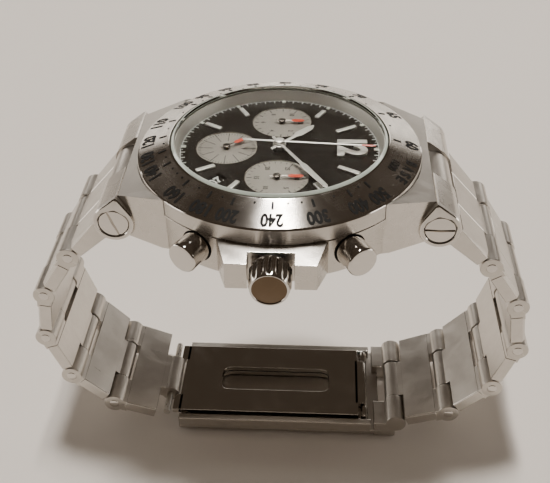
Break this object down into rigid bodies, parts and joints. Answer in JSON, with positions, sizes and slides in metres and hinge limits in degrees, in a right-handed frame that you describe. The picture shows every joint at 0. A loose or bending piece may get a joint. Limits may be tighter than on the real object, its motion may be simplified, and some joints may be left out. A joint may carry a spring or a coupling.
{
  "type": "chronograph wristwatch",
  "caption": "Steel chronograph wristwatch with tachymeter bezel, crown, pushers, three-counter dial, geared movement and a link bracelet with folding clasp.",
  "frame": {"origin": "middle of the case back's flat face", "axes": "+X to the crown at 3 o'clock, +Y to 12 o'clock, +Z out of the dial"},
  "size_m": [0.0459, 0.0754, 0.052],
  "materials": {
    "brushed_steel": "brushed, with polished edges",
    "polished_steel": "polished",
    "nickel": "fine satin, nickel plated",
    "brass": "satin",
    "sapphire_glass": "polished",
    "black_dial": "satin lacquer",
    "black_rubber": "matt"
  },
  "bodies": {
    "case": {"case_middle": "brushed_steel", "bezel": "brushed_steel", "crystal": "sapphire_glass", "crystal_gasket": "black_rubber", "inner_flange": "polished_steel", "dial": "black_dial", "case_back": "brushed_steel", "case_back_gasket": "black_rubber", "movement_ring": "nickel", "crown_tube": "nickel", "main_plate": "nickel", "train_bridge": "nickel", "balance_cock": "nickel", "rotor_bearing": "polished_steel", "lug_pin_12": "polished_steel", "lug_pin_6": "polished_steel", "lug_screw_12": "polished_steel", "lug_screw_6": "polished_steel", "pusher_spring_start": "nickel", "pusher_spring_reset": "nickel"},
    "crown_seal": {"crown_seal": "black_rubber"},
    "crown": {"crown": "polished_steel", "winding_stem": "nickel"},
    "start_pusher": {"pusher_start": "polished_steel"},
    "reset_pusher": {"pusher_reset": "polished_steel"},
    "rotor": {"winding_rotor": "brass"},
    "hour_hand": {"hour_hand": "polished_steel"},
    "minute_hand": {"minute_hand": "polished_steel"},
    "chronograph_seconds": {"chronograph_seconds_hand": "polished_steel"},
    "minute_counter": {"minute_counter_hand": "polished_steel"},
    "hour_counter": {"hour_counter_hand": "polished_steel"},
    "mainspring_barrel": {"mainspring_barrel": "brass"},
    "centre_wheel": {"centre_wheel": "brass"},
    "third_wheel": {"third_wheel": "brass"},
    "fourth_wheel": {"fourth_wheel": "brass", "small_seconds_hand": "polished_steel"},
    "escape_wheel": {"escape_wheel": "nickel"},
    "pallet_fork": {"pallet_fork": "nickel"},
    "balance": {"balance_wheel": "brass", "hairspring": "nickel"},
    "date_disc": {"date_disc": "black_dial"},
    "link_12_1": {"link_12_1": "brushed_steel"},
    "link_12_2": {"link_12_2": "brushed_steel"},
    "link_12_3": {"link_12_3": "brushed_steel"},
    "link_12_4": {"link_12_4": "brushed_steel"},
    "link_12_5": {"link_12_5": "brushed_steel"},
    "link_12_6": {"link_12_6": "brushed_steel"},
    "link_6_1": {"link_6_1": "brushed_steel"},
    "link_6_2": {"link_6_2": "brushed_steel"},
    "link_6_3": {"link_6_3": "brushed_steel"},
    "link_6_4": {"link_6_4": "brushed_steel"},
    "link_6_5": {"link_6_5": "brushed_steel"},
    "link_6_6": {"link_6_6": "brushed_steel", "spring_bar_6": "nickel"},
    "clasp_cover": {"clasp_cover": "brushed_steel", "spring_bar_12": "nickel"},
    "clasp_blade_outer": {"clasp_blade_outer": "polished_steel"},
    "clasp_blade_inner": {"clasp_blade_inner": "polished_steel"}
  },
  "joints": [
    {"name": "crown_pull", "type": "slide", "parent": "case", "child": "crown_seal", "axis": [1, 0, 0], "range_m": [0, 0.0015]},
    {"name": "crown_turn", "type": "hinge", "parent": "crown_seal", "child": "crown", "pos_m": [0.0239, 0, 0.00517], "axis": [1, 0, 0], "continuous": true},
    {"name": "start_press", "type": "slide", "parent": "case", "child": "start_pusher", "axis": [-0.8678, -0.497, 0], "range_m": [0, 0.001], "stiffness_N_per_m": 3000, "springref_m": -0.0003, "deforming": ["pusher_spring_start"]},
    {"name": "reset_press", "type": "slide", "parent": "case", "child": "reset_pusher", "axis": [-0.8678, 0.497, 0], "range_m": [0, 0.001], "stiffness_N_per_m": 3000, "springref_m": -0.0003, "deforming": ["pusher_spring_reset"]},
    {"name": "rotor_turn", "type": "hinge", "parent": "case", "child": "rotor", "pos_m": [0, 0, 0.0024], "axis": [0, 0, -1], "continuous": true},
    {"name": "hour_turn", "type": "hinge", "parent": "case", "child": "hour_hand", "pos_m": [0, 0, 0.0098], "axis": [0, 0, -1], "continuous": true},
    {"name": "minute_turn", "type": "hinge", "parent": "case", "child": "minute_hand", "pos_m": [0, 0, 0.0101], "axis": [0, 0, -1], "continuous": true},
    {"name": "minute_counter_turn", "type": "hinge", "parent": "case", "child": "minute_counter", "pos_m": [0.0075, 0, 0.0095], "axis": [0, 0, -1], "continuous": true},
    {"name": "chronograph_seconds_turn", "type": "hinge", "parent": "case", "child": "chronograph_seconds", "pos_m": [0, 0, 0.0104], "axis": [0, 0, -1], "continuous": true},
    {"name": "hour_counter_turn", "type": "hinge", "parent": "case", "child": "hour_counter", "pos_m": [-0.0075, 0, 0.0095], "axis": [0, 0, -1], "continuous": true},
    {"name": "fourth_turn", "type": "hinge", "parent": "case", "child": "fourth_wheel", "pos_m": [0, -0.0075, 0.00575], "axis": [0, 0, -1], "continuous": true},
    {"name": "third_turn", "type": "hinge", "parent": "case", "child": "third_wheel", "pos_m": [0.00089, -0.00404, 0.00515], "axis": [0, 0, -1], "continuous": true},
    {"name": "centre_turn", "type": "hinge", "parent": "case", "child": "centre_wheel", "pos_m": [0, 0, 0.00455], "axis": [0, 0, -1], "continuous": true},
    {"name": "barrel_turn", "type": "hinge", "parent": "case", "child": "mainspring_barrel", "pos_m": [-0.00341, 0.00487, 0.006], "axis": [0, 0, -1], "continuous": true},
    {"name": "escape_turn", "type": "hinge", "parent": "case", "child": "escape_wheel", "pos_m": [0.0034, -0.00841, 0.00465], "axis": [0, 0, -1], "continuous": true},
    {"name": "fork_swing", "type": "hinge", "parent": "case", "child": "pallet_fork", "pos_m": [0.00526, -0.00619, 0.00465], "axis": [0, 0, -1], "range_deg": [-5, 5]},
    {"name": "balance_swing", "type": "hinge", "parent": "case", "child": "balance", "pos_m": [0.00739, -0.00366, 0.0052], "axis": [0, 0, -1], "range_deg": [-270, 270], "stiffness_Nm_per_rad": 0.00002, "deforming": ["hairspring"]},
    {"name": "date_turn", "type": "hinge", "parent": "case", "child": "date_disc", "pos_m": [0, 0, 0.00795], "axis": [0, 0, -1], "continuous": true},
    {"name": "unroll_12", "type": "hinge", "parent": "case", "child": "link_12_1", "pos_m": [0, 0.022, 0.0048], "axis": [1, 0, 0], "range_deg": [0, 34.6]},
    {"name": "fold_12_2", "type": "hinge", "parent": "link_12_1", "child": "link_12_2", "pos_m": [0, 0.0301, -0.0032], "axis": [1, 0, 0], "range_deg": [0, 12.4]},
    {"name": "fold_12_3", "type": "hinge", "parent": "link_12_2", "child": "link_12_3", "pos_m": [0, 0.0349, -0.0106], "axis": [1, 0, 0], "range_deg": [0, 25.01]},
    {"name": "fold_12_4", "type": "hinge", "parent": "link_12_3", "child": "link_12_4", "pos_m": [0, 0.03612, -0.01931], "axis": [1, 0, 0], "range_deg": [0, 25.99]},
    {"name": "fold_12_5", "type": "hinge", "parent": "link_12_4", "child": "link_12_5", "pos_m": [0, 0.0334, -0.02768], "axis": [1, 0, 0], "range_deg": [0, 25.99]},
    {"name": "fold_12_6", "type": "hinge", "parent": "link_12_5", "child": "link_12_6", "pos_m": [0, 0.02729, -0.03401], "axis": [1, 0, 0], "range_deg": [0, 26.02]},
    {"name": "unroll_6", "type": "hinge", "parent": "case", "child": "link_6_1", "pos_m": [0, -0.022, 0.0048], "axis": [-1, 0, 0], "range_deg": [0, 34.6]},
    {"name": "fold_6_2", "type": "hinge", "parent": "link_6_1", "child": "link_6_2", "pos_m": [0, -0.0301, -0.0032], "axis": [-1, 0, 0], "range_deg": [0, 12.4]},
    {"name": "fold_6_3", "type": "hinge", "parent": "link_6_2", "child": "link_6_3", "pos_m": [0, -0.0349, -0.0106], "axis": [-1, 0, 0], "range_deg": [0, 25.01]},
    {"name": "fold_6_4", "type": "hinge", "parent": "link_6_3", "child": "link_6_4", "pos_m": [0, -0.03612, -0.01931], "axis": [-1, 0, 0], "range_deg": [0, 25.99]},
    {"name": "fold_6_5", "type": "hinge", "parent": "link_6_4", "child": "link_6_5", "pos_m": [0, -0.0334, -0.02768], "axis": [-1, 0, 0], "range_deg": [0, 25.99]},
    {"name": "fold_6_6", "type": "hinge", "parent": "link_6_5", "child": "link_6_6", "pos_m": [0, -0.02729, -0.03401], "axis": [-1, 0, 0], "range_deg": [0, 26.02]},
    {"name": "fold_clasp", "type": "hinge", "parent": "link_12_6", "child": "clasp_cover", "pos_m": [0, 0.01902, -0.03702], "axis": [1, 0, 0], "range_deg": [0, 20.02]},
    {"name": "blade_outer_fold", "type": "hinge", "parent": "clasp_cover", "child": "clasp_blade_outer", "pos_m": [0, -0.0162, -0.0381], "axis": [1, 0, 0], "range_deg": [0, 170.02]},
    {"name": "blade_inner_fold", "type": "hinge", "parent": "clasp_blade_outer", "child": "clasp_blade_inner", "pos_m": [0, 0.014, -0.0376], "axis": [1, 0, 0], "range_deg": [-170.02, 0]}
  ],
  "couplings": [
    {"joint": "minute_turn", "follows": "hour_turn", "ratio": 12},
    {"joint": "chronograph_seconds_turn", "follows": "minute_counter_turn", "ratio": 30},
    {"joint": "hour_counter_turn", "follows": "minute_counter_turn", "ratio": 0.041667},
    {"joint": "third_turn", "follows": "fourth_turn", "ratio": -0.13333},
    {"joint": "centre_turn", "follows": "fourth_turn", "ratio": 0.016667},
    {"joint": "barrel_turn", "follows": "fourth_turn", "ratio": -0.0027778},
    {"joint": "escape_turn", "follows": "fourth_turn", "ratio": -10},
    {"joint": "fold_12_2", "follows": "unroll_12", "ratio": 0.35809},
    {"joint": "fold_12_3", "follows": "unroll_12", "ratio": 0.72254},
    {"joint": "fold_12_4", "follows": "unroll_12", "ratio": 0.75087},
    {"joint": "fold_12_5", "follows": "unroll_12", "ratio": 0.75087},
    {"joint": "fold_12_6", "follows": "unroll_12", "ratio": 0.75173},
    {"joint": "fold_6_2", "follows": "unroll_6", "ratio": 0.35809},
    {"joint": "fold_6_3", "follows": "unroll_6", "ratio": 0.72254},
    {"joint": "fold_6_4", "follows": "unroll_6", "ratio": 0.75087},
    {"joint": "fold_6_5", "follows": "unroll_6", "ratio": 0.75087},
    {"joint": "fold_6_6", "follows": "unroll_6", "ratio": 0.75173},
    {"joint": "fold_clasp", "follows": "unroll_12", "ratio": 0.57803},
    {"joint": "blade_outer_fold", "follows": "unroll_12", "ratio": 4.9133},
    {"joint": "blade_inner_fold", "follows": "unroll_12", "ratio": -4.9133}
  ]
}
